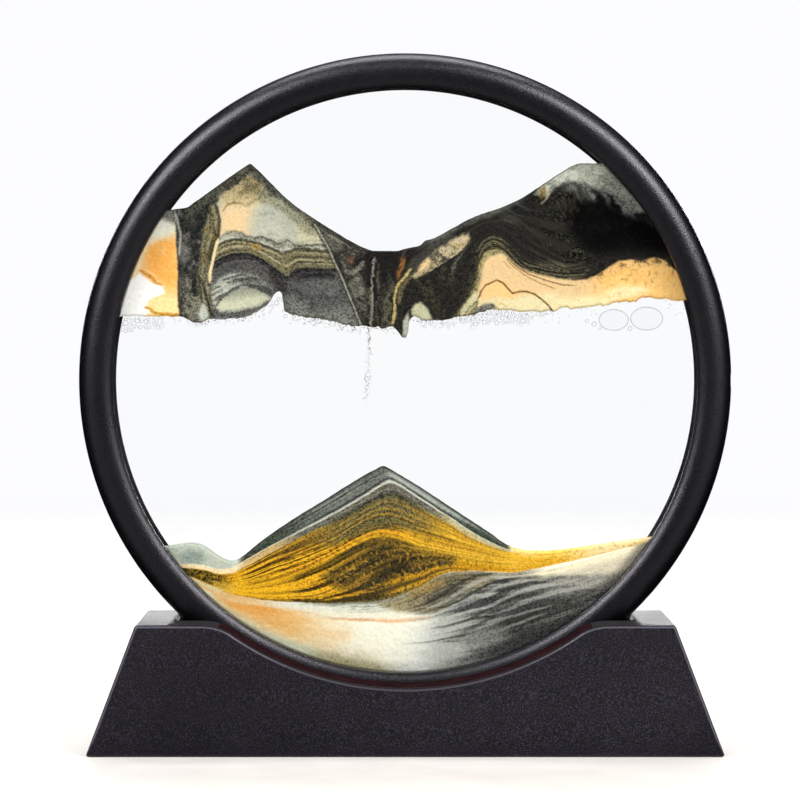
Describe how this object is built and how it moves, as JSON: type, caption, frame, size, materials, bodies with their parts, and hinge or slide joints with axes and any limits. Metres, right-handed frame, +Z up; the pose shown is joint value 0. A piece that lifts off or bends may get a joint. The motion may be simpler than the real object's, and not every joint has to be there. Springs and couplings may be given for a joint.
{
  "type": "moving sand art frame",
  "caption": "Round glass cell of liquid, air and coloured sand in a black ring, standing upright in a slotted trapezoid base so it can be lifted out and turned over.",
  "frame": {"origin": "on the table under the middle of the base", "axes": "+Z up; +X to the right as seen from the front; -Y towards the viewer; the ring's axis is along Y"},
  "size_m": [0.1778, 0.048, 0.189],
  "materials": {
    "base_plastic": "satin",
    "cover_plastic": "matte",
    "ring_plastic": "satin",
    "liner_rubber": "matte",
    "black_rubber": "matte",
    "screw_steel": "satin",
    "clear_glass": "polished",
    "spacer_plastic": "satin",
    "sealant": "satin",
    "foam": "matte",
    "marbled_sand": "matte",
    "layered_sand": "matte",
    "clear_liquid": "polished",
    "air": "polished"
  },
  "bodies": {
    "base": {"base_shell": "base_plastic", "bottom_cover": "cover_plastic", "cradle_liner": "liner_rubber", "cover_screw_1": "screw_steel", "cover_screw_2": "screw_steel", "cover_screw_3": "screw_steel", "cover_screw_4": "screw_steel", "foot_pad_1": "black_rubber", "foot_pad_2": "black_rubber", "foot_pad_3": "black_rubber", "foot_pad_4": "black_rubber"},
    "contents": {"upper_sand": "marbled_sand", "lower_sand": "layered_sand", "sand_stream": "marbled_sand", "upper_liquid": "clear_liquid", "lower_liquid": "clear_liquid", "air_pocket_left": "air", "air_pocket_right": "air"},
    "disc": {"front_ring": "ring_plastic", "rear_ring": "ring_plastic", "front_glass": "clear_glass", "rear_glass": "clear_glass", "spacer_ring": "spacer_plastic", "front_seal": "sealant", "rear_seal": "sealant", "front_gasket": "foam", "rear_gasket": "foam", "fill_stopper": "black_rubber"},
    "plug": {"fill_plug": "black_rubber"}
  },
  "joints": [
    {"name": "disc_lift", "type": "slide", "parent": "base", "child": "contents", "axis": [0, 0, 1], "range_m": [0, 0.05]},
    {"name": "disc_turn", "type": "hinge", "parent": "contents", "child": "disc", "pos_m": [0, 0, 0.1], "axis": [0, 1, 0], "range_deg": [-180, 180]},
    {"name": "plug_pull", "type": "slide", "parent": "disc", "child": "plug", "axis": [1, 0, 0], "range_m": [0, 0.012]}
  ]
}
